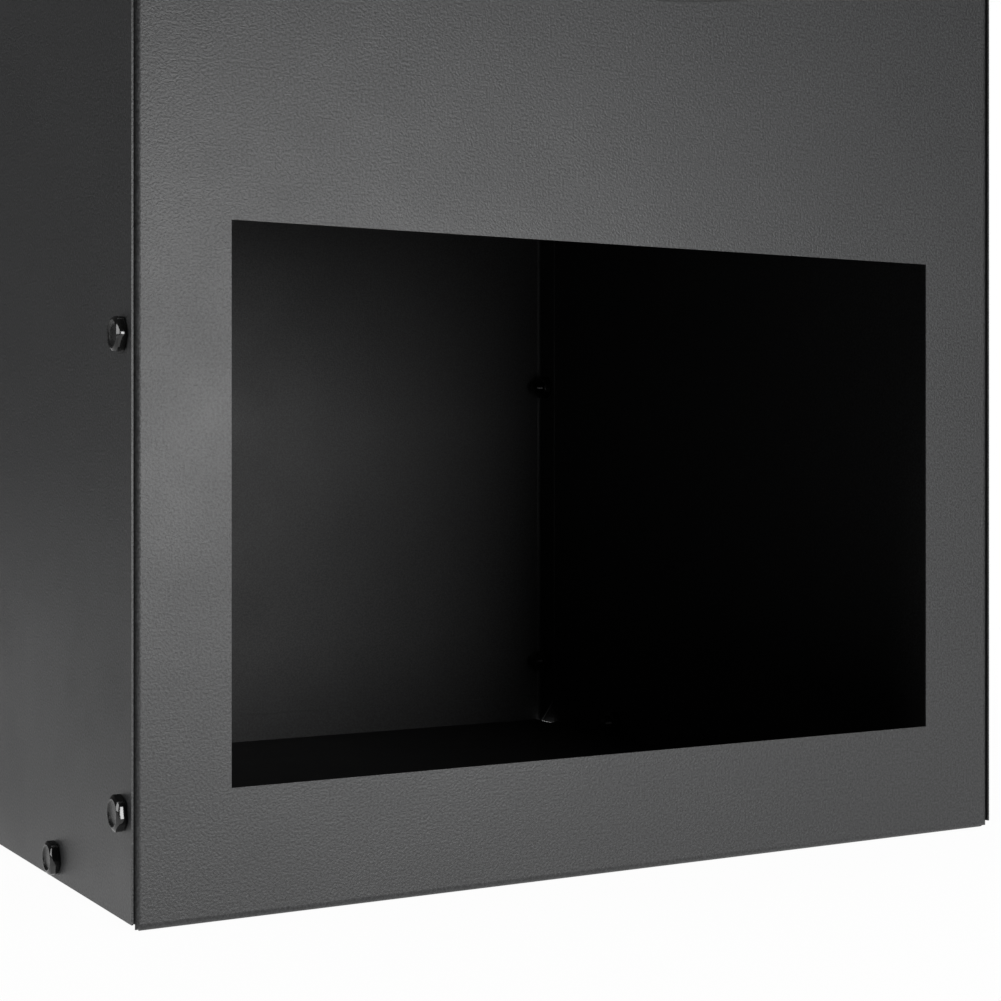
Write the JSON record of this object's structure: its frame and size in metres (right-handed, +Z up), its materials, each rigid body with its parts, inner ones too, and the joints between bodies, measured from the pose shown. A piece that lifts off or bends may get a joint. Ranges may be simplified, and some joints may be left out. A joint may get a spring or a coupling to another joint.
{
  "type": "outdoor fireplace",
  "caption": "Upright black sheet-steel outdoor fireplace with a log store below, an arched fire chamber with grate and ash pan, a sloping hood, and a flue pipe with rain cap.",
  "frame": {"origin": "middle of the base, on the surface that the fireplace stands on", "axes": "+Z up the flue, -Y out of the front with the log store's mouth and the fire opening, +X to the right seen from the front"},
  "size_m": [0.4384, 0.4284, 1.5928],
  "materials": {
    "powder_coat": "fine-textured satin black powder coat on sheet steel",
    "black_fasteners": "glossy black plated steel",
    "grate_steel": "matt black heat-proof coat on round steel bar",
    "pan_steel": "satin black enamel on pressed steel"
  },
  "bodies": {
    "body": {"front_panel": "powder_coat", "back_panel": "powder_coat", "left_side_panel": "powder_coat", "right_side_panel": "powder_coat", "log_floor_tray": "powder_coat", "hearth_tray": "powder_coat", "hood_front": "powder_coat", "hood_back": "powder_coat", "hood_left": "powder_coat", "hood_right": "powder_coat", "flue_collar": "powder_coat", "flue_pipe": "powder_coat", "rain_cap": "powder_coat", "cap_straps": "powder_coat", "front_bolts": "black_fasteners", "back_bolts": "black_fasteners", "floor_bolts": "black_fasteners", "hearth_bolts": "black_fasteners", "hood_skirt_bolts": "black_fasteners", "hood_hip_bolts": "black_fasteners", "collar_bolts": "black_fasteners", "strap_bolts": "black_fasteners", "cap_bolts": "black_fasteners", "front_nuts": "black_fasteners", "back_nuts": "black_fasteners", "floor_nuts": "black_fasteners", "hearth_nuts": "black_fasteners", "hood_skirt_nuts": "black_fasteners", "hood_hip_nuts": "black_fasteners", "collar_nuts": "black_fasteners", "strap_nuts": "black_fasteners", "cap_nuts": "black_fasteners"},
    "grate": {"grate_frame": "grate_steel", "grate_bars": "grate_steel"},
    "ash_pan": {"ash_pan": "pan_steel"}
  },
  "joints": [
    {"name": "grate_lift", "type": "slide", "parent": "body", "child": "grate", "axis": [0, 0, 1], "range_m": [0, 0.12]},
    {"name": "ash_pan_lift", "type": "slide", "parent": "body", "child": "ash_pan", "axis": [0, 0, 1], "range_m": [0, 0.06]}
  ],
  "couplings": [
    {"joint": "ash_pan_lift", "follows": "grate_lift", "ratio": 0.5}
  ]
}
